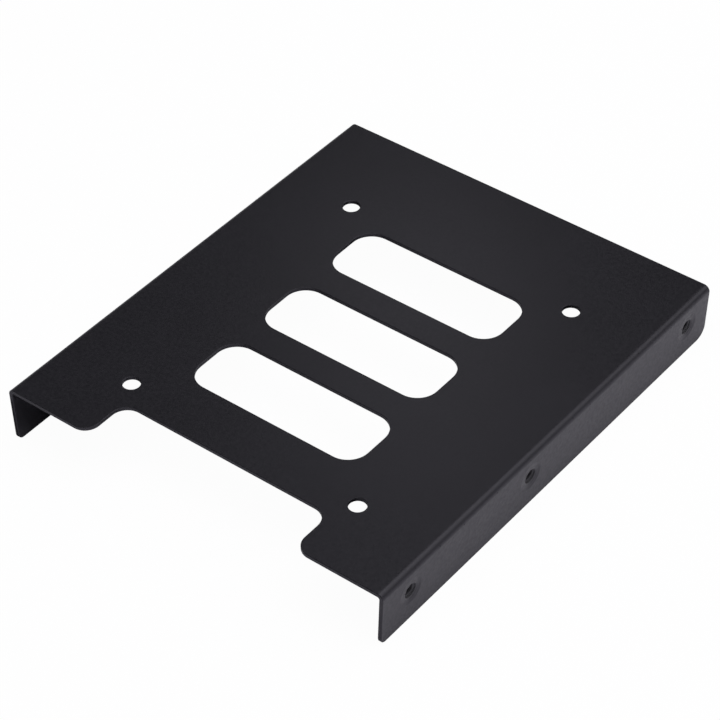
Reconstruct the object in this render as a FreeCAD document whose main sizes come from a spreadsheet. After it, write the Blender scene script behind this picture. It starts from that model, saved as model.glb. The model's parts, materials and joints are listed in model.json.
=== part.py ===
# Drive bay adapter bracket: one steel sheet with both long sides folded down.
#
# It carries a 2.5-inch drive under its plate and is screwed into a 3.5-inch bay
# by its flanges. X runs across the bracket, Y along it with the notched connector
# edge at -Y, and Z is up. The origin is at the middle of the outline, on the
# surface that the flange edges stand on. Lengths are millimetres, angles degrees.
import FreeCAD, Part

import math
import os

import Sketcher

# Driving dimensions, by their names in the sheet
SIZES = {
    # The folded sheet: the width is over the bends, the lean is past square
    "overall_width": 101.6,
    "overall_length": 119.6,
    "overall_height": 14.4,
    "sheet_thickness": 1.0,
    "bend_inside_radius": 0.5,
    "flange_lean": 2.5,
    "flange_front_corner": 1.5,
    "flange_back_corner": 3.0,
    "edge_break": 0.12,
    # The notch that leaves the drive's connector free
    "notch_width": 55.9,
    "notch_depth": 11.85,
    "notch_mouth_corner": 3.7,
    "notch_inside_corner": 3.9,
    # The slots across the plate: the setback is to the first slot's middle
    "slot_length": 46.0,
    "slot_width": 16.2,
    "slot_corner": 5.2,
    "slot_setback": 33.85,
    "slot_pitch": 24.0,
    "slot_count": 3,
    # The four screw holes of a 2.5-inch drive
    "drive_hole_radius": 2.05,
    "drive_hole_across": 61.72,
    "drive_hole_along": 76.6,
    "drive_hole_setback": 17.4,
    # The screw holes of a 3.5-inch bay, three in each flange. The front one is set
    # from the front edge and the back one from the back edge, 60.0 from the middle one
    "bay_hole_drop": 6.35,
    "bay_hole_setback": 9.5,
    "bay_hole_gap_front": 41.6,
    "bay_hole_back_setback": 8.5,
    # Each is drawn inwards into a collar, with a funnel mouth, and bored to the outside
    # of its thread
    "collar_outside_radius": 2.35,
    "collar_reach": 1.1,
    "collar_root_break": 0.3,
    "thread_bore_radius": 1.75,
    "mouth_bevel": 0.26,
    "mouth_round": 0.78,
}

# How far a cutting outline runs past the metal, so that no cut ends on a face
OVERRUN = 2.0

# The faces at a cut edge of the sheet meet at more than this angle
CUT_EDGE_ANGLE = 60.0

# A place or a size closer than this is the same one
NEAR = 0.01

# Places worked out from the driving dimensions
HALF_WIDTH = "Sizes.overall_width / 2"
BACK_EDGE = "Sizes.overall_length / 2"
FRONT_EDGE = "-Sizes.overall_length / 2"
PLATE_TOP = "Sizes.overall_height"
OUTSIDE_RADIUS = "(Sizes.bend_inside_radius + Sizes.sheet_thickness)"
BEND_CENTRE_X = f"({HALF_WIDTH} - {OUTSIDE_RADIUS})"
BEND_CENTRE_Z = f"(Sizes.overall_height - {OUTSIDE_RADIUS})"
BAY_HOLE_Z = "(Sizes.overall_height - Sizes.bay_hole_drop)"

# How deep a collar's rim lies below the flange's outer face
COLLAR_DEPTH = "Sizes.sheet_thickness + Sizes.collar_reach"

# Where the flange's outer face is at the height of the bay holes
BAY_HOLE_X = (
    f"({BEND_CENTRE_X} + ({OUTSIDE_RADIUS} + sin(Sizes.flange_lean)"
    f" * ({OUTSIDE_RADIUS} - Sizes.bay_hole_drop)) / cos(Sizes.flange_lean))"
)
BAY_HOLE_STATIONS = (
    f"{FRONT_EDGE} + Sizes.bay_hole_setback",
    f"{FRONT_EDGE} + Sizes.bay_hole_setback + Sizes.bay_hole_gap_front",
    f"{BACK_EDGE} - Sizes.bay_hole_back_setback",
)


class Bracket:
    """The document, its sheet of sizes and the one body that is modelled in it."""

    def __init__(self):
        self.document = FreeCAD.newDocument("adapter_bracket")
        self.sheet = self.document.addObject("Spreadsheet::Sheet", "Sizes")
        for row, (name, size) in enumerate(SIZES.items(), start=1):
            self.sheet.set(f"A{row}", name)
            self.sheet.set(f"B{row}", str(size))
            self.sheet.setAlias(f"B{row}", name)
        self.document.recompute()
        self.body = self.document.addObject("PartDesign::Body", "bracket")
        self.body.Label = "bracket"
        self.volume = 0.0

    def value(self, formula):
        """Work out a formula of the sheet's sizes."""
        return float(self.sheet.evalExpression(formula))

    def plane(self, role):
        """Return the body's own origin plane or axis with this role."""
        return next(item for item in self.body.Origin.OriginFeatures if item.Role == role)

    def sketch(self, name, role):
        """Add a sketch that lies flat on one of the body's origin planes."""
        sketch = self.body.newObject("Sketcher::SketchObject", name)
        sketch.AttachmentSupport = [(self.plane(role), "")]
        sketch.MapMode = "FlatFace"
        return Outline(self, sketch)

    def feature(self, kind, name):
        """Add a modelling feature to the body."""
        return self.body.newObject(f"PartDesign::{kind}", name)

    def finish(self, feature, grows):
        """Recompute with this feature as the last one, and see that it changed the metal."""
        before = self.volume
        self.body.Tip = feature
        self.document.recompute()
        self.volume = feature.Shape.Volume
        if (self.volume > before) != grows or self.volume == before:
            raise RuntimeError(f"{feature.Name} left {self.volume:.3f} mm3 of {before:.3f} mm3")
        return feature

    def cut(self, name, outline):
        """Cut an outline right through the plate below its sketch."""
        pocket = self.feature("Pocket", name)
        pocket.Profile = outline.sketch
        pocket.Type = "ThroughAll"
        return self.finish(pocket, grows=False)

    def dress(self, kind, name, size_name, chosen):
        """Give a Fillet or a Chamfer to the edges that a test of their shape chooses."""
        base = self.body.Tip
        numbers = [
            number
            for number, edge in enumerate(base.Shape.Edges, start=1)
            if chosen(base.Shape, edge)
        ]
        if not numbers:
            raise RuntimeError(f"{name} found no edge")
        dressed = self.feature(kind, name)
        dressed.Base = (base, [f"Edge{number}" for number in numbers])
        dressed.setExpression("Radius" if kind == "Fillet" else "Size", f"Sizes.{size_name}")
        self.body.Tip = dressed
        self.document.recompute()
        self.volume = dressed.Shape.Volume


class Outline:
    """One sketch: its lines and circles, held by sizes that are bound to the sheet."""

    # The points of a sketch element
    START, END, CENTRE = range(1, 4)

    # The sketch's own origin and its level axis
    ORIGIN = (-1, 1)
    LEVEL = -1

    def __init__(self, bracket, sketch):
        self.bracket = bracket
        self.sketch = sketch

    def shift(self, **offsets):
        """Move the sketch from its plane by formulas, such as z=PLATE_TOP."""
        for axis, formula in offsets.items():
            self.sketch.setExpression(f"AttachmentOffset.Base.{axis}", formula)
        self.bracket.document.recompute()

    def point(self, across, along):
        """Work out a point of the sketch plane from two formulas."""
        return FreeCAD.Vector(self.bracket.value(across), self.bracket.value(along), 0)

    def line(self, start, end):
        """Add a line between two points."""
        return self.sketch.addGeometry(Part.LineSegment(start, end), False)

    def arc(self, centre, radius, first, last):
        """Add an arc that turns anticlockwise between two angles."""
        circle = Part.Circle(centre, FreeCAD.Vector(0, 0, 1), radius)
        arc = Part.ArcOfCircle(circle, math.radians(first), math.radians(last))
        return self.sketch.addGeometry(arc, False)

    def tie(self, kind, *targets):
        """Add a constraint that has no size, such as Tangent or Vertical."""
        self.sketch.addConstraint(Sketcher.Constraint(kind, *targets))

    def size(self, kind, *targets, formula):
        """Add a dimension that follows a formula of the sheet's sizes."""
        size = self.bracket.value(formula)
        if kind == "Angle":
            size = math.radians(size)
        index = self.sketch.addConstraint(Sketcher.Constraint(kind, *targets, size))
        self.sketch.setExpression(f"Constraints[{index}]", formula)

    def place(self, element, point, across=None, along=None):
        """Hold a point at these distances from the sketch's origin."""
        for kind, formula in (("DistanceX", across), ("DistanceY", along)):
            if formula is None:
                continue
            if self.bracket.value(formula) < 0:
                self.size(kind, element, point, *self.ORIGIN, formula=f"-({formula})")
            else:
                self.size(kind, *self.ORIGIN, element, point, formula=formula)

    def rectangle(self, left, right, front, back):
        """Draw a rectangle whose four sides lie at formulas of the sizes."""
        corners = [
            self.point(left, front),
            self.point(right, front),
            self.point(right, back),
            self.point(left, back),
        ]
        sides = [self.line(corners[i], corners[(i + 1) % 4]) for i in range(4)]
        for i, side in enumerate(sides):
            self.tie("Coincident", side, self.END, sides[(i + 1) % 4], self.START)
            self.tie("Horizontal" if i % 2 == 0 else "Vertical", side)
        self.place(sides[0], self.START, left, front)
        self.place(sides[2], self.START, right, back)

    def circle(self, across, along, radius):
        """Draw a circle with its centre and its radius at formulas of the sizes."""
        circle = Part.Circle(self.point(across, along), FreeCAD.Vector(0, 0, 1), self.bracket.value(radius))
        element = self.sketch.addGeometry(circle, False)
        self.size("Radius", element, formula=radius)
        if self.bracket.value(along) == 0:
            self.tie("PointOnObject", element, self.CENTRE, self.LEVEL)
            self.place(element, self.CENTRE, across)
        else:
            self.place(element, self.CENTRE, across, along)


def draw_leg(outline, side, plate_lines):
    """Draw one bend and its flange, to the right (side 1) or the left (side -1).

    plate_lines are the plate's upper and lower line, both drawn from left to right.
    """
    value = outline.bracket.value
    lean = value("Sizes.flange_lean")
    thickness = value("Sizes.sheet_thickness")
    centre = FreeCAD.Vector(side * value(BEND_CENTRE_X), value(BEND_CENTRE_Z), 0)
    outward = FreeCAD.Vector(side * math.cos(math.radians(lean)), -math.sin(math.radians(lean)), 0)
    down = FreeCAD.Vector(-side * math.sin(math.radians(lean)), -math.cos(math.radians(lean)), 0)

    bends = []
    bend_ends = []
    for radius in (OUTSIDE_RADIUS, "Sizes.bend_inside_radius"):
        first, last = (-lean, 90) if side > 0 else (90, 180 + lean)
        bends.append(outline.arc(centre, value(radius), first, last))
        bend_ends.append(centre + outward * value(radius))
    plate_point, leg_point = (outline.END, outline.START) if side > 0 else (outline.START, outline.END)

    outer_foot = bend_ends[0] + down * (-bend_ends[0].y / down.y)
    inner_foot = outer_foot - outward * thickness
    outer_leg = outline.line(bend_ends[0], outer_foot)
    foot = outline.line(outer_foot, inner_foot)
    inner_leg = outline.line(inner_foot, bend_ends[1])

    line_point = outline.END if side > 0 else outline.START
    for bend, plate_line in zip(bends, plate_lines):
        outline.tie("Tangent", plate_line, line_point, bend, plate_point)
    outline.tie("Tangent", bends[0], leg_point, outer_leg, outline.START)
    outline.tie("Coincident", outer_leg, outline.END, foot, outline.START)
    outline.tie("Coincident", foot, outline.END, inner_leg, outline.START)
    outline.tie("Tangent", inner_leg, outline.END, bends[1], leg_point)
    outline.tie("Coincident", bends[0], outline.CENTRE, bends[1], outline.CENTRE)
    outline.tie("Perpendicular", foot, outer_leg)
    outline.tie("Parallel", inner_leg, outer_leg)
    outline.tie("PointOnObject", outer_leg, outline.END, outline.LEVEL)
    outline.size("Radius", bends[0], formula=OUTSIDE_RADIUS)
    outline.size("Radius", bends[1], formula="Sizes.bend_inside_radius")
    outline.place(bends[0], outline.CENTRE, f"{side} * {BEND_CENTRE_X}")
    lean_formula = f"-(90 + {side} * Sizes.flange_lean)"
    outline.size("Angle", outer_leg, formula=lean_formula)


def fold_sheet(bracket):
    """Make the folded sheet: its section across the bracket, run along its length."""
    outline = bracket.sketch("fold_section", "XZ_Plane")
    underside = f"{PLATE_TOP} - Sizes.sheet_thickness"
    plate_lines = [
        outline.line(outline.point(f"-{BEND_CENTRE_X}", level), outline.point(BEND_CENTRE_X, level))
        for level in (PLATE_TOP, underside)
    ]
    outline.tie("Horizontal", plate_lines[0])
    for side in (1, -1):
        draw_leg(outline, side, plate_lines)
    outline.place(plate_lines[0], outline.START, along=PLATE_TOP)

    sheet = bracket.feature("Pad", "folded_sheet")
    sheet.Profile = outline.sketch
    sheet.SideType = "Symmetric"
    sheet.setExpression("Length", "Sizes.overall_length")
    bracket.finish(sheet, grows=True)


def plate_sketch(bracket, name):
    """Add a sketch that lies on the plate's upper face."""
    outline = bracket.sketch(name, "XY_Plane")
    outline.shift(z=PLATE_TOP)
    return outline


def cut_notch(bracket):
    """Cut the connector notch into the front edge, with rounded corners."""
    outline = plate_sketch(bracket, "notch_outline")
    depth_line = f"{FRONT_EDGE} + Sizes.notch_depth"
    outline.rectangle(
        "-Sizes.notch_width / 2", "Sizes.notch_width / 2", f"{FRONT_EDGE} - {OVERRUN}", depth_line
    )
    bracket.cut("connector_notch", outline)

    side = bracket.value("Sizes.notch_width / 2")
    for name, size_name, place in (
        ("notch_mouth_rounds", "notch_mouth_corner", FRONT_EDGE),
        ("notch_inside_rounds", "notch_inside_corner", depth_line),
    ):
        corners = upright_edges_at({side}, {bracket.value(place)})
        bracket.dress("Fillet", name, size_name, corners)


def cut_slots(bracket):
    """Cut the row of slots across the plate, with rounded corners."""
    outline = plate_sketch(bracket, "slot_outline")
    middle = f"{FRONT_EDGE} + Sizes.slot_setback"
    outline.rectangle(
        "-Sizes.slot_length / 2",
        "Sizes.slot_length / 2",
        f"{middle} - Sizes.slot_width / 2",
        f"{middle} + Sizes.slot_width / 2",
    )
    first_slot = bracket.cut("first_slot", outline)

    row = bracket.feature("LinearPattern", "slot_row")
    row.Originals = [first_slot]
    row.Direction = (outline.sketch, ["V_Axis"])
    row.setExpression("Occurrences", "Sizes.slot_count")
    row.setExpression("Length", "(Sizes.slot_count - 1) * Sizes.slot_pitch")
    bracket.finish(row, grows=False)

    count = int(SIZES["slot_count"])
    ends = {
        bracket.value(f"{middle} + {step} * Sizes.slot_pitch + {side} * Sizes.slot_width / 2")
        for step in range(count)
        for side in (1, -1)
    }
    across = {bracket.value("Sizes.slot_length / 2")}
    bracket.dress("Fillet", "slot_corners", "slot_corner", upright_edges_at(across, ends))


def cut_drive_holes(bracket):
    """Cut the four plain holes for the screws of the drive."""
    outline = plate_sketch(bracket, "drive_hole_outline")
    front_row = f"{FRONT_EDGE} + Sizes.drive_hole_setback"
    for side in (1, -1):
        for along in (front_row, f"{front_row} + Sizes.drive_hole_along"):
            outline.circle(f"{side} * Sizes.drive_hole_across / 2", along, "Sizes.drive_hole_radius")
    bracket.cut("drive_holes", outline)


def round_flange_corners(bracket):
    """Round the lower corners of the flanges, front and back."""
    foot_level = bracket.value("Sizes.sheet_thickness")
    for name, size_name, end in (
        ("flange_front_corners", "flange_front_corner", bracket.value(FRONT_EDGE)),
        ("flange_back_corners", "flange_back_corner", bracket.value(BACK_EDGE)),
    ):
        def at_foot(shape, edge, end=end):
            return all(
                abs(vertex.Point.y - end) < NEAR and vertex.Point.z < foot_level
                for vertex in edge.Vertexes
            )

        bracket.dress("Fillet", name, size_name, at_foot)


def flange_sketch(bracket, name):
    """Add a sketch on the right flange's outer face, level with its screw holes."""
    outline = bracket.sketch(name, "YZ_Plane")
    lean = FreeCAD.Rotation(FreeCAD.Vector(1, 0, 0), SIZES["flange_lean"])
    outline.sketch.AttachmentOffset = FreeCAD.Placement(FreeCAD.Vector(0, 0, 0), lean)
    outline.sketch.setExpression("AttachmentOffset.Rotation.Angle", "Sizes.flange_lean")
    outline.shift(y=BAY_HOLE_Z, z=BAY_HOLE_X)
    return outline


def mirror(bracket, name, features):
    """Repeat features of the right flange on the left one."""
    mirrored = bracket.feature("Mirrored", name)
    mirrored.Originals = features
    mirrored.MirrorPlane = (bracket.plane("YZ_Plane"), [""])
    bracket.body.Tip = mirrored
    bracket.document.recompute()


def draw_collars(bracket):
    """Draw the flange metal inwards into threaded collars, on both flanges."""
    rings = flange_sketch(bracket, "collar_outline")
    bores = flange_sketch(bracket, "bore_outline")
    for station in BAY_HOLE_STATIONS:
        rings.circle(station, "0", "Sizes.collar_outside_radius")
        bores.circle(station, "0", "Sizes.thread_bore_radius")

    collars = bracket.feature("Pad", "collars")
    collars.Profile = rings.sketch
    collars.Reversed = True
    collars.setExpression("Length", COLLAR_DEPTH)
    bracket.finish(collars, grows=True)

    holes = bracket.feature("Pocket", "thread_bores")
    holes.Profile = bores.sketch
    holes.SideType = "Symmetric"
    holes.setExpression("Length", f"2 * ({COLLAR_DEPTH} + {OVERRUN})")
    bracket.finish(holes, grows=False)
    mirror(bracket, "collars_both_sides", [collars, holes])

    bore = SIZES["thread_bore_radius"]
    bracket.dress("Chamfer", "mouth_bevels", "mouth_bevel", circles_at(bracket, bore, 0.0))
    mouth = bore + SIZES["mouth_bevel"]
    bracket.dress("Fillet", "mouth_rounds", "mouth_round", circles_at(bracket, mouth, 0.0))
    roots = circles_at(bracket, SIZES["collar_outside_radius"], SIZES["sheet_thickness"])
    bracket.dress("Chamfer", "collar_root_breaks", "collar_root_break", roots)


def upright_edges_at(across, along):
    """Choose the upright edges at these distances from the middle and places along."""
    def chosen(shape, edge):
        ends = [vertex.Point for vertex in edge.Vertexes]
        if len(ends) != 2 or abs(ends[0].z - ends[1].z) < NEAR:
            return False
        return all(
            any(abs(abs(end.x) - place) < NEAR for place in across)
            and any(abs(end.y - place) < NEAR for place in along)
            for end in ends
        )

    return chosen


def circles_at(bracket, radius, depth_in):
    """Choose the circles of this radius, at a depth below the flanges' outer faces."""
    lean = math.radians(SIZES["flange_lean"])
    distance = bracket.value(BAY_HOLE_X) - depth_in * math.cos(lean)

    def chosen(shape, edge):
        curve = edge.Curve
        if not isinstance(curve, Part.Circle) or not edge.isClosed():
            return False
        return abs(curve.Radius - radius) < NEAR and abs(abs(curve.Center.x) - distance) < NEAR

    return chosen


def is_cut_edge(shape, edge):
    """Say whether the two faces at an edge meet as a cut edge's do."""
    faces = shape.ancestorsOfType(edge, Part.Face)
    if len(faces) != 2:
        return False
    middle = edge.valueAt((edge.FirstParameter + edge.LastParameter) / 2)
    normals = [face.normalAt(*face.Surface.parameter(middle)) for face in faces]
    return math.degrees(normals[0].getAngle(normals[1])) > CUT_EDGE_ANGLE


def check(bracket):
    """Stop if any object failed, or if the body isn't one sound solid."""
    for item in bracket.document.Objects:
        if "Invalid" in item.State or "Error" in item.State:
            raise RuntimeError(f"{item.Label} failed: {item.State}")
    shape = bracket.body.Shape
    if shape.isNull() or not shape.isValid() or len(shape.Solids) != 1:
        raise RuntimeError(f"{bracket.body.Label} is not one valid solid")
    walls = [face.Surface for face in shape.Faces if isinstance(face.Surface, Part.Cylinder)]
    bores = [wall for wall in walls if abs(wall.Radius - SIZES["thread_bore_radius"]) < NEAR]
    if len(bores) != 2 * len(BAY_HOLE_STATIONS):
        raise RuntimeError(f"{bracket.body.Label} has {len(bores)} bores for a thread")


def export(bracket):
    """Write the body to its own file and report its size."""
    os.makedirs("parts", exist_ok=True)
    shape = bracket.body.Shape
    shape.exportStep(os.path.join("parts", f"{bracket.body.Label}.step"))
    box = shape.optimalBoundingBox(False, False)
    print(f"{bracket.body.Label}: {box.XLength:.3f} x {box.YLength:.3f} x {box.ZLength:.3f} mm")
    print(f"volume {shape.Volume:.2f} mm3, faces {len(shape.Faces)}, lowest {box.ZMin:.4f} mm")


def main():
    bracket = Bracket()
    fold_sheet(bracket)
    cut_notch(bracket)
    cut_slots(bracket)
    cut_drive_holes(bracket)
    round_flange_corners(bracket)
    draw_collars(bracket)
    bracket.dress("Chamfer", "broken_edges", "edge_break", is_cut_edge)
    check(bracket)
    export(bracket)


main()
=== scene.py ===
# Looks of the drive bay adapter bracket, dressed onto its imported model
import json
import logging
import math
from dataclasses import dataclass
from enum import Enum
from typing import Any, ClassVar

import bmesh
import bpy
from mathutils import Matrix, Vector


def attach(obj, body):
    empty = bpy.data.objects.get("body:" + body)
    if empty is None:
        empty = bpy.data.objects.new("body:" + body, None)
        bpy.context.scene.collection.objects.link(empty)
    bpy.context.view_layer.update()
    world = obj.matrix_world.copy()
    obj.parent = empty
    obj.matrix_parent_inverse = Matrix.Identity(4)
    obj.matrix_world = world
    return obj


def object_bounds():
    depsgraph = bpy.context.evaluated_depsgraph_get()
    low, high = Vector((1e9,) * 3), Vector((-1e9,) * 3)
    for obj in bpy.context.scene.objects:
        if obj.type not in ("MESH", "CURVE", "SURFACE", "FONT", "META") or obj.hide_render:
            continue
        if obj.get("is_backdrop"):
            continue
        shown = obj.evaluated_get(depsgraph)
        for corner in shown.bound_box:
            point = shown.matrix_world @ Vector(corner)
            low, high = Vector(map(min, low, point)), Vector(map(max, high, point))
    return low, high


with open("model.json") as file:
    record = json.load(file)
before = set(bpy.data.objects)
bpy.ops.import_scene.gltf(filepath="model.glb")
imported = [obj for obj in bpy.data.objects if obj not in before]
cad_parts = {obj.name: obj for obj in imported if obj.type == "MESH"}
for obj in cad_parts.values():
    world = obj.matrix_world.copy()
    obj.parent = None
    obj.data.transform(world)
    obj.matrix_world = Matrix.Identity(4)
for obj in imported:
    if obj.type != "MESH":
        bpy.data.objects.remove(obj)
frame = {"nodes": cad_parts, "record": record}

LOG = logging.getLogger("adapter_bracket")

# Lengths in this file are metres unless a name ends in _mm
MM = 0.001
INCH = 25.4 * MM

BODY = "root"
BRACKET_NODE = "bracket"
COAT_SLOT = "black_powder_coat"

# How white the floor and the air look to the camera, of 1
BACKDROP = 0.97

Socket = bpy.types.NodeSocket
Colour = tuple[float, float, float]
Span = tuple[float, float]

RISING: Span = (0.0, 1.0)
FALLING: Span = (1.0, 0.0)


class NoiseKind(Enum):
    """Which noise a layer of the coat is made from."""

    CLOUDY = "ShaderNodeTexNoise"
    CELLULAR = "ShaderNodeTexVoronoi"


class Sum(Enum):
    """What a math node works out from its values."""

    ADD = "ADD"
    TAKE = "SUBTRACT"
    TIMES = "MULTIPLY"
    SIZE = "ABSOLUTE"
    ROOT = "SQRT"
    LEAST = "MINIMUM"
    MOST = "MAXIMUM"
    ABOVE = "GREATER_THAN"
    BELOW = "LESS_THAN"


@dataclass(frozen=True)
class Grain:
    """One layer of the coat's texture: the length of a grain, its finer layers and its height."""

    length: float
    detail: float
    height: float = 0.0


def link_object(name: str, data: bpy.types.ID) -> bpy.types.Object:
    """Put new data into the scene as an object.

    Args:
        name: The object's name.
        data: The mesh, lamp or camera data that it shows.

    Returns:
        The new object, which sits at the origin.
    """
    made = bpy.data.objects.new(name, data)
    bpy.context.scene.collection.objects.link(made)
    return made


def turned_to(place: Vector, across: Vector, upward: Vector, backward: Vector) -> Matrix:
    """Return the matrix of an object at a place, with its x, y and z along the three directions."""
    turn = Matrix((across, upward, backward)).transposed().to_4x4()
    return Matrix.Translation(place) @ turn


@dataclass(frozen=True)
class NodeBench:
    """A node tree that nodes are added to and wired up in."""

    tree: bpy.types.NodeTree

    def add(self, kind: str, **settings: Any) -> bpy.types.Node:
        """Add a node.

        Args:
            kind: The node's type name.
            settings: Properties of the node, by their names.

        Returns:
            The new node.
        """
        node = self.tree.nodes.new(kind)
        for name, value in settings.items():
            setattr(node, name, value)
        return node

    def join(self, source: Socket, target: Socket) -> None:
        """Wire an output to an input."""
        self.tree.links.new(source, target)

    def noise(self, where: Socket, grain: Grain) -> Socket:
        """Add a cloudy noise.

        Args:
            where: The coordinates that it is laid out in, in metres.
            grain: The length of one cloud, and how many finer layers it carries.

        Returns:
            Its value, about 0 to 1.
        """
        node = self.add(NoiseKind.CLOUDY.value)
        node.inputs["Scale"].default_value = 1.0 / grain.length
        node.inputs["Detail"].default_value = grain.detail
        self.join(where, node.inputs["Vector"])
        return node.outputs["Fac"]

    def span(self, value: Socket, source: Span, target: Span, soft: bool = False) -> Socket:
        """Stretch a value from one range to another, and hold it there.

        Args:
            value: The value to stretch.
            source: The range that it comes in.
            target: The range that it leaves in.
            soft: Whether it eases in and out of its ends.

        Returns:
            The stretched value.
        """
        node = self.add("ShaderNodeMapRange", clamp=True)
        if soft:
            node.interpolation_type = "SMOOTHSTEP"
        self.join(value, node.inputs["Value"])
        for name, number in zip(("From Min", "From Max", "To Min", "To Max"), source + target):
            node.inputs[name].default_value = number
        return node.outputs["Result"]

    def work_out(self, kind: Sum, first: Socket, second: Socket | float = 0.0) -> Socket:
        """Work out a sum.

        Args:
            kind: What is done with the values.
            first: The first value.
            second: The second value, or a plain number. SIZE and ROOT have none.

        Returns:
            The result.
        """
        node = self.add("ShaderNodeMath", operation=kind.value)
        self.join(first, node.inputs[0])
        if isinstance(second, Socket):
            self.join(second, node.inputs[1])
        else:
            node.inputs[1].default_value = second
        return node.outputs["Value"]

    def distance(self, along: Socket, up: Socket) -> Socket:
        """Return the length of a way whose two parts, at right angles, are given."""
        squares = [self.work_out(Sum.TIMES, part, part) for part in (along, up)]
        return self.work_out(Sum.ROOT, self.work_out(Sum.ADD, *squares))

    def blend(self, amount: Socket, first: Socket | Colour, second: Socket | Colour) -> Socket:
        """Mix two colours.

        Args:
            amount: How much of the second colour shows.
            first: The first colour, fixed or worked out by nodes.
            second: The second colour, the same way.

        Returns:
            The mixed colour.
        """
        node = self.add("ShaderNodeMix", data_type="RGBA")
        self.join(amount, node.inputs["Factor"])
        for colour, socket in ((first, node.inputs["A"]), (second, node.inputs["B"])):
            if isinstance(colour, Socket):
                self.join(colour, socket)
            else:
                socket.default_value = (*colour, 1.0)
        return node.outputs["Result"]

    def mix_shaders(self, amount: Socket, first: Socket, second: Socket) -> Socket:
        """Mix two shaders.

        Args:
            amount: How much of the second shader shows.
            first: The first shader.
            second: The second shader.

        Returns:
            The mixed shader.
        """
        node = self.add("ShaderNodeMixShader")
        for source, target in zip((amount, first, second), node.inputs):
            self.join(source, target)
        return node.outputs["Shader"]

    def bump(self, height: Socket) -> Socket:
        """Turn a height in metres into a normal.

        Args:
            height: The height above the surface.

        Returns:
            The normal.
        """
        node = self.add("ShaderNodeBump")
        node.inputs["Strength"].default_value = 1.0
        node.inputs["Distance"].default_value = 1.0
        self.join(height, node.inputs["Height"])
        return node.outputs["Normal"]


@dataclass(frozen=True)
class Spot:
    """The place on a surface that a material's nodes work on, in the object's own coordinates."""

    where: Socket
    x: Socket
    y: Socket
    z: Socket
    facing_y: Socket

    @classmethod
    def read(cls, bench: NodeBench) -> "Spot":
        """Add the nodes that give the place and the way that it faces.

        Args:
            bench: The material's nodes.

        Returns:
            The place.
        """
        coordinates = bench.add("ShaderNodeTexCoord")
        parts = bench.add("ShaderNodeSeparateXYZ")
        bench.join(coordinates.outputs["Object"], parts.inputs["Vector"])
        facing = bench.add("ShaderNodeSeparateXYZ")
        bench.join(coordinates.outputs["Normal"], facing.inputs["Vector"])
        return cls(coordinates.outputs["Object"], *parts.outputs, facing.outputs["Y"])


@dataclass(frozen=True)
class CoatLayout:
    """Where the coat changes: at the screw holes along the bracket, at their level and at the bends."""

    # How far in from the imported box's sides and top these places lie
    FLANGE_INSET: ClassVar[float] = 1.0 * MM
    COLLAR_INSET: ClassVar[float] = 2.6 * MM
    BEND_DROP: ClassVar[float] = 0.9 * MM
    # To how many digits the holes of the two sides lie at the same station
    STATION_DIGITS: ClassVar[int] = 6

    stations: tuple[float, ...]
    hole_level: float
    flange_plane: float
    collar_plane: float
    bend_level: float

    @classmethod
    def read(cls) -> "CoatLayout":
        """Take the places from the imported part's mounts and box.

        Returns:
            The layout, in metres.
        """
        holes = [mount["pos_m"] for mount in frame["record"]["mounts"] if mount["kind"] == "threaded_hole"]
        half_width, _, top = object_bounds()[1]
        return cls(
            stations=tuple(sorted({round(along, cls.STATION_DIGITS) for _, along, _ in holes})),
            hole_level=holes[0][2],
            flange_plane=half_width - cls.FLANGE_INSET,
            collar_plane=half_width - cls.COLLAR_INSET,
            bend_level=top - cls.BEND_DROP,
        )


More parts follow.
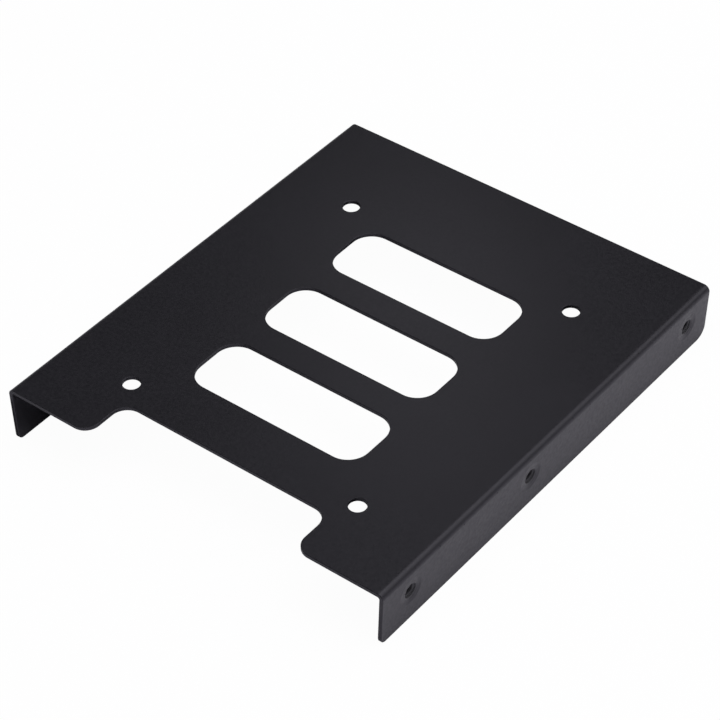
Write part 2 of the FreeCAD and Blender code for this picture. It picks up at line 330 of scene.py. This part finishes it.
@dataclass(frozen=True)
class PowderCoat:
    """Semi-matte black powder coat: fused grains with a soft orange peel."""

    layout: CoatLayout

    # The pigment's two tones, and how much of the way between them the clouds decide
    dark: Colour = (0.0040, 0.0037, 0.0056)
    light: Colour = (0.0070, 0.0066, 0.0095)
    cloud_share: float = 0.65

    # The gloss, and the roughness from the smoothest to the roughest peel
    gloss: float = 0.5
    sheen_tint: Colour = (0.91, 0.88, 1.0)
    roughness: Span = (0.36, 0.46)

    # The texture, and the range of a noise's value that most of it lies in
    clouds: Grain = Grain(26 * MM, detail=3.0)
    waves: Grain = Grain(7 * MM, detail=0.0, height=0.012 * MM)
    peel: Grain = Grain(0.75 * MM, detail=2.0, height=0.003 * MM)
    powder: Grain = Grain(0.16 * MM, detail=1.0, height=0.0016 * MM)
    busy_span: Span = (0.3, 0.7)

    # The flange's slight draw-in, between two distances from a screw hole's axis
    dimple_edge: Span = (2.2 * MM, 3.6 * MM)
    dimple_depth: float = 0.24 * MM

    # A collar's bore gets a lighter colour, painted light that stands in for light reaching into it, and a
    # duller roughness; both fade out in the mouth
    throat_edge: Span = (1.8 * MM, 2.15 * MM)
    bore_painted_light: Colour = (0.058, 0.057, 0.062)
    throat_roughness: float = 0.7

    # The sheet's cut faces at its ends, and the left flange's, which is duller below the bend
    cut_facing: Span = (0.75, 0.95)
    cut_roughness: float = 0.55
    foot_fade: float = 3 * MM
    foot_roughness: float = 1.0

    # The tiny pits along the bends, and the band about the bend's level that they lie in
    speck_spacing: float = 11 * MM
    speck_edge: Span = (0.1 * MM, 0.2 * MM)
    speck_band: Span = (-0.5 * MM, 0.6 * MM)
    pit: Colour = (0.0015, 0.0015, 0.0018)
    pit_roughness: float = 0.9

    def hole_radius(self, bench: NodeBench, spot: Spot) -> Socket:
        """Work out the distance from the axis of the nearest screw hole.

        Args:
            bench: The material's nodes.
            spot: The place on the surface.

        Returns:
            The distance, measured along the flange.
        """
        offsets = [bench.work_out(Sum.TAKE, spot.y, station) for station in self.layout.stations]
        nearest, *others = [bench.work_out(Sum.SIZE, offset) for offset in offsets]
        for other in others:
            nearest = bench.work_out(Sum.LEAST, nearest, other)
        return bench.distance(nearest, bench.work_out(Sum.TAKE, spot.z, self.layout.hole_level))

    def outside(self, bench: NodeBench, spot: Spot, plane: float) -> Socket:
        """Return 1 further out than a plane on either side of the bracket, and 0 between the two."""
        return bench.work_out(Sum.ABOVE, bench.work_out(Sum.SIZE, spot.x), plane)

    def dimples(self, bench: NodeBench, spot: Spot, radius: Socket) -> Socket:
        """Work out how far the flange is drawn in round its screw holes.

        Args:
            bench: The material's nodes.
            spot: The place on the surface.
            radius: The distance from the nearest hole's axis.

        Returns:
            The height, 0 on the flat and negative towards a hole.
        """
        drop = bench.span(radius, self.dimple_edge, (-self.dimple_depth, 0.0), soft=True)
        return bench.work_out(Sum.TIMES, drop, self.outside(bench, spot, self.layout.flange_plane))

    def throats(self, bench: NodeBench, spot: Spot, radius: Socket) -> Socket:
        """Find the bores of the collars.

        Args:
            bench: The material's nodes.
            spot: The place on the surface.
            radius: The distance from the nearest hole's axis.

        Returns:
            How much of a bore there is, 0 to 1.
        """
        near = bench.span(radius, self.throat_edge, FALLING, soft=True)
        return bench.work_out(Sum.TIMES, near, self.outside(bench, spot, self.layout.collar_plane))

    def specks(self, bench: NodeBench, spot: Spot) -> Socket:
        """Scatter a few tiny pits along the bends, where the coat pulled thin.

        Args:
            bench: The material's nodes.
            spot: The place on the surface.

        Returns:
            How much of a pit there is, 0 to 1.
        """
        cells = bench.add(NoiseKind.CELLULAR.value, voronoi_dimensions="1D")
        cells.inputs["Scale"].default_value = 1.0 / self.speck_spacing
        bench.join(spot.y, cells.inputs["W"])
        along = bench.work_out(Sum.TIMES, cells.outputs["Distance"], self.speck_spacing)

        scatter = bench.add("ShaderNodeSeparateColor")
        bench.join(cells.outputs["Color"], scatter.inputs["Color"])
        lowest, highest = (self.layout.bend_level + rise for rise in self.speck_band)
        level = bench.span(scatter.outputs["Red"], RISING, (lowest, highest))
        reach = bench.distance(along, bench.work_out(Sum.TAKE, spot.z, level))

        pit = bench.span(reach, self.speck_edge, FALLING)
        return bench.work_out(Sum.TIMES, pit, self.outside(bench, spot, self.layout.flange_plane))

    def cut_faces(self, bench: NodeBench, spot: Spot) -> Socket:
        """Find the faces of the sheet that were cut at its front and back ends.

        Args:
            bench: The material's nodes.
            spot: The place on the surface.

        Returns:
            How much of a cut face there is, 0 to 1.
        """
        return bench.span(bench.work_out(Sum.SIZE, spot.facing_y), self.cut_facing, RISING)

    def left_foot(self, bench: NodeBench, spot: Spot, cut: Socket) -> Socket:
        """Find the left flange's share of the cut faces.

        Args:
            bench: The material's nodes.
            spot: The place on the surface.
            cut: How much of a cut face there is.

        Returns:
            How much of the left flange's cut face there is, 0 to 1.
        """
        bend = self.layout.bend_level
        low = bench.span(spot.z, (bend - self.foot_fade, bend), FALLING)
        left = bench.work_out(Sum.BELOW, spot.x)
        return bench.work_out(Sum.TIMES, bench.work_out(Sum.TIMES, cut, low), left)

    def colour(
        self, bench: NodeBench, clouds: Socket, powder: Socket, throats: Socket, specks: Socket
    ) -> Socket:
        """Work out the coat's colour.

        Args:
            bench: The material's nodes.
            clouds: The noise of the broad clouds.
            powder: The noise of the fine grains.
            throats: How much of a bore there is, where a lighter colour is painted in as light.
            specks: How much of a pit there is.

        Returns:
            The colour.
        """
        broad = bench.work_out(Sum.TIMES, clouds, self.cloud_share)
        fine = bench.work_out(Sum.TIMES, powder, 1.0 - self.cloud_share)
        shade = bench.span(bench.work_out(Sum.ADD, broad, fine), self.busy_span, RISING)
        coat = bench.blend(shade, self.dark, self.light)
        # In the bores the colour is lightened: painted light that stands in for light reaching into them
        return bench.blend(specks, bench.blend(throats, coat, self.bore_painted_light), self.pit)

    def make(self) -> bpy.types.Material:
        """Build the material.

        Returns:
            The material, laid out in the object's own coordinates.
        """
        material = bpy.data.materials.new(COAT_SLOT)
        material.use_nodes = True
        bench = NodeBench(material.node_tree)
        shader = material.node_tree.nodes["Principled BSDF"]
        spot = Spot.read(bench)
        clouds = bench.noise(spot.where, self.clouds)
        waves = bench.noise(spot.where, self.waves)
        peel = bench.noise(spot.where, self.peel)
        powder = bench.noise(spot.where, self.powder)
        specks = self.specks(bench, spot)
        radius = self.hole_radius(bench, spot)
        throats = self.throats(bench, spot, radius)
        cut = self.cut_faces(bench, spot)
        foot = self.left_foot(bench, spot, cut)

        coat = self.colour(bench, clouds, powder, throats, specks)
        bench.join(coat, shader.inputs["Base Color"])

        rough = bench.span(peel, self.busy_span, self.roughness)
        dull_places = (
            (specks, self.pit_roughness),
            (throats, self.throat_roughness),
            (cut, self.cut_roughness),
            (foot, self.foot_roughness),
        )
        for mask, dullness in dull_places:
            rough = bench.work_out(Sum.MOST, rough, bench.work_out(Sum.TIMES, mask, dullness))
        bench.join(rough, shader.inputs["Roughness"])

        height = self.dimples(bench, spot, radius)
        for layer, grain in ((waves, self.waves), (peel, self.peel), (powder, self.powder)):
            height = bench.work_out(Sum.ADD, height, bench.work_out(Sum.TIMES, layer, grain.height))
        bench.join(bench.bump(height), shader.inputs["Normal"])

        shader.inputs["Metallic"].default_value = 0.0
        shader.inputs["Specular IOR Level"].default_value = self.gloss
        shader.inputs["Specular Tint"].default_value = (*self.sheen_tint, 1.0)
        return material


@dataclass(frozen=True)
class FoldedSheet:
    """The bracket itself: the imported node, which keeps its shape and gets its coat."""

    coat: bpy.types.Material

    def dress(self) -> bpy.types.Object:
        """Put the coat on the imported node.

        Returns:
            The node's object.
        """
        sheet = frame["nodes"][BRACKET_NODE]
        sheet.data.materials.clear()
        sheet.data.materials.append(self.coat)
        return sheet


@dataclass(frozen=True)
class BoreThread:
    """The screw thread inside one collar: a ridge that winds along the bore."""

    mount: dict[str, Any]
    coat: bpy.types.Material
    # A number 6 coarse thread, with 32 turns to the inch, its flanks' lean and its ridge's height
    pitch: float = INCH / 32
    flank: float = math.radians(30)
    height: float = 0.35 * MM
    # How deep the ridge's foot lies in the wall, and half its width as a share of the pitch
    sunk: float = 0.03 * MM
    half_foot: float = 7 / 16
    # How many turns the ridge takes to rise at either end, and its sections in each turn
    fade_turns: float = 0.2
    steps_a_turn: int = 48

    @property
    def turns(self) -> float:
        """Return how many turns fit between the bore's ends."""
        return self.mount["dims"]["length_mm"] * MM / self.pitch - 2 * self.half_foot

    def axes(self) -> Matrix:
        """Work out the place and directions of the bore.

        Returns:
            Its matrix, with the bore's axis as z and the bracket's length as x.
        """
        out = Vector(self.mount["axis"]).normalized()
        up = out.cross(Vector((0, 1, 0))).normalized()
        return turned_to(Vector(self.mount["pos_m"]), up.cross(out), up, out)

    def profile(self, rise: float) -> list[tuple[float, float]]:
        """Work out the ridge's section.

        Args:
            rise: How much of its full height the ridge has here, 0 to 1.

        Returns:
            Points as distances from the axis and along it.
        """
        wall = self.mount["dims"]["r_mm"] * MM
        foot = self.pitch * self.half_foot
        crest = foot - self.height * rise * math.tan(self.flank)
        low = wall + self.sunk
        top = wall - self.height * rise + self.sunk * (1 - rise)
        return [(low, -foot), (top, -crest), (top, crest), (low, foot)]

    def section(self, mesh: bmesh.types.BMesh, axes: Matrix, turned: float) -> list[bmesh.types.BMVert]:
        """Lay one section of the ridge.

        Args:
            mesh: The mesh that it is laid in.
            axes: The place and directions of the bore.
            turned: How many turns along the ridge it lies.

        Returns:
            Its corners, in order.
        """
        rise = min(1.0, turned / self.fade_turns, (self.turns - turned) / self.fade_turns)
        angle = math.tau * turned
        middle = self.pitch * (turned - self.turns / 2)
        return [
            mesh.verts.new(axes @ Vector((reach * math.cos(angle), reach * math.sin(angle), middle + offset)))
            for reach, offset in self.profile(rise)
        ]

    def build(self) -> bpy.types.Object:
        """Make the thread's mesh.

        Returns:
            The thread, riding with the bracket.
        """
        mesh = bmesh.new()
        axes = self.axes()
        steps = round(self.turns * self.steps_a_turn)
        sections = [self.section(mesh, axes, self.turns * step / steps) for step in range(steps + 1)]
        for first, second in zip(sections, sections[1:]):
            for corner in range(len(first)):
                after = (corner + 1) % len(first)
                mesh.faces.new((first[corner], first[after], second[after], second[corner]))
        mesh.faces.new(sections[0])
        mesh.faces.new(sections[-1])
        bmesh.ops.recalc_face_normals(mesh, faces=mesh.faces)

        data = bpy.data.meshes.new(self.mount["name"] + "_thread")
        mesh.to_mesh(data)
        mesh.free()
        data.materials.append(self.coat)
        thread = link_object(data.name, data)
        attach(thread, BODY)
        return thread


@dataclass(frozen=True)
class SoftLight:
    """One soft lamp: a glowing rectangle that faces the bracket, with its angles in degrees."""

    name: str
    azimuth: float
    elevation: float
    distance: float
    width: float
    height: float
    radiance: float

    def place(self) -> bpy.types.Object:
        """Hang the lamp, turned towards the bracket.

        Returns:
            The lamp's object.
        """
        lamp = bpy.data.lights.new(self.name, "AREA")
        lamp.shape = "RECTANGLE"
        lamp.size = self.width
        lamp.size_y = self.height
        lamp.energy = self.radiance * math.pi * self.width * self.height
        hung = link_object(self.name, lamp)
        azimuth = math.radians(self.azimuth)
        elevation = math.radians(self.elevation)
        level = math.cos(elevation)
        direction = Vector((math.cos(azimuth) * level, math.sin(azimuth) * level, math.sin(elevation)))
        hung.location = direction * self.distance
        hung.rotation_mode = "QUATERNION"
        hung.rotation_quaternion = (-direction).to_track_quat("-Z", "Y")
        return hung


@dataclass(frozen=True)
class PaleFloor:
    """The floor that the flange edges stand on: pale paper, clear from below."""

    name: str = "pale_floor"
    half: float = 1.5
    colour: Colour = (0.95, 0.93, 1.0)
    # How much plain white a mirroring surface sees of the floor, over its lit paper
    mirror_fill: float = 0.01

    def material(self) -> bpy.types.Material:
        """Build the floor's material.

        Returns:
            The material.
        """
        material = bpy.data.materials.new(self.name)
        material.use_nodes = True
        nodes = material.node_tree.nodes
        nodes.remove(nodes["Principled BSDF"])
        bench = NodeBench(material.node_tree)
        paper = bench.add("ShaderNodeBsdfDiffuse")
        paper.inputs["Color"].default_value = (*self.colour, 1.0)
        white = bench.add("ShaderNodeEmission")
        clear = bench.add("ShaderNodeBsdfTransparent")

        rays = bench.add("ShaderNodeLightPath").outputs
        mirrored = bench.work_out(Sum.MOST, rays["Is Glossy Ray"], rays["Is Transmission Ray"])
        fill = bench.work_out(
            Sum.MOST,
            bench.work_out(Sum.TIMES, rays["Is Camera Ray"], BACKDROP),
            bench.work_out(Sum.TIMES, mirrored, self.mirror_fill),
        )
        top = bench.mix_shaders(fill, paper.outputs["BSDF"], white.outputs["Emission"])
        below = bench.add("ShaderNodeNewGeometry").outputs["Backfacing"]
        sides = bench.mix_shaders(below, top, clear.outputs["BSDF"])
        bench.join(sides, nodes["Material Output"].inputs["Surface"])
        return material

    def lay(self) -> bpy.types.Object:
        """Lay the floor at level 0.

        Returns:
            The floor.
        """
        corners = [(x * self.half, y * self.half, 0) for x, y in ((-1, -1), (1, -1), (1, 1), (-1, 1))]
        mesh = bpy.data.meshes.new(self.name)
        mesh.from_pydata(corners, [], [tuple(range(len(corners)))])
        mesh.materials.append(self.material())
        floor = link_object(self.name, mesh)
        floor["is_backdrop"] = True
        return floor


@dataclass(frozen=True)
class SoftAir:
    """The air round the bracket: a soft grey glow that is paler near the horizon."""

    name: str = "soft_room"
    horizon_glow: float = 0.5
    upper_glow: float = 0.05
    # The height of a direction of length 1 from which the glow is the upper one
    upper_start: float = 0.6

    def fill(self) -> None:
        """Make the air the scene's world."""
        world = bpy.data.worlds.new(self.name)
        world.use_nodes = True
        bpy.context.scene.world = world
        bench = NodeBench(world.node_tree)
        direction = bench.add("ShaderNodeTexCoord").outputs["Generated"]
        parts = bench.add("ShaderNodeSeparateXYZ")
        bench.join(direction, parts.inputs["Vector"])
        height = bench.span(parts.outputs["Z"], (0.0, self.upper_start), RISING)
        glow = bench.blend(height, (self.horizon_glow,) * 3, (self.upper_glow,) * 3)
        seen = bench.add("ShaderNodeLightPath").outputs["Is Camera Ray"]
        background = world.node_tree.nodes["Background"]
        bench.join(bench.blend(seen, glow, (BACKDROP,) * 3), background.inputs["Color"])


@dataclass(frozen=True)
class Studio:
    """The pale floor, the soft lamps and the air around the bracket."""

    floor: PaleFloor = PaleFloor()
    air: SoftAir = SoftAir()
    lamps: tuple[SoftLight, ...] = (
        SoftLight(
            "overhead_light", azimuth=308, elevation=83,
            distance=0.9, width=0.9, height=0.9, radiance=2.1,
        ),
        SoftLight(
            "back_right_light", azimuth=42, elevation=50,
            distance=0.85, width=0.9, height=0.7, radiance=1.3,
        ),
        SoftLight(
            "sheen_light", azimuth=123.5, elevation=44.2,
            distance=0.23, width=0.06, height=0.06, radiance=1.2,
        ),
    )

    def set_up(self) -> None:
        """Lay the floor, hang the lamps and fill the air."""
        self.floor.lay()
        for lamp in self.lamps:
            lamp.place()
        self.air.fill()


@dataclass(frozen=True)
class PhotoCamera:
    """The camera at the photograph's viewing angle."""

    name: str = "photo_camera"
    place_mm: tuple[float, float, float] = (281.91, -355.04, 409.52)
    right: tuple[float, float, float] = (0.78823, 0.61525, -0.01276)
    down: tuple[float, float, float] = (0.40072, -0.5289, -0.74813)
    lens_mm: float = 137.4
    sensor_mm: float = 36.0
    nearest: float = 0.01
    furthest: float = 20.0

    def place(self) -> bpy.types.Object:
        """Set the camera up and make it the scene's own.

        Returns:
            The camera's object.
        """
        data = bpy.data.cameras.new(self.name)
        data.lens = self.lens_mm
        data.sensor_width = self.sensor_mm
        data.clip_start = self.nearest
        data.clip_end = self.furthest
        camera = link_object(self.name, data)
        across = Vector(self.right).normalized()
        backward = across.cross(-Vector(self.down)).normalized()
        camera.matrix_world = turned_to(Vector(self.place_mm) * MM, across, backward.cross(across), backward)
        bpy.context.scene.camera = camera
        return camera


def report(piece: bpy.types.Object) -> None:
    """Log a finished piece's name and how many faces its mesh has."""
    LOG.info("%s: %d faces", piece.name, len(piece.data.polygons))


def main() -> None:
    """Dress the bracket and set the studio up round it."""
    logging.basicConfig(level=logging.INFO, format="%(message)s")
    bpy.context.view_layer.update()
    bpy.context.scene.view_settings.view_transform = "Standard"

    PhotoCamera().place()
    coat = PowderCoat(CoatLayout.read()).make()
    report(FoldedSheet(coat).dress())
    for mount in frame["record"]["mounts"]:
        if mount["kind"] == "threaded_hole":
            report(BoreThread(mount, coat).build())
    Studio().set_up()


if __name__ == "__main__":
    main()
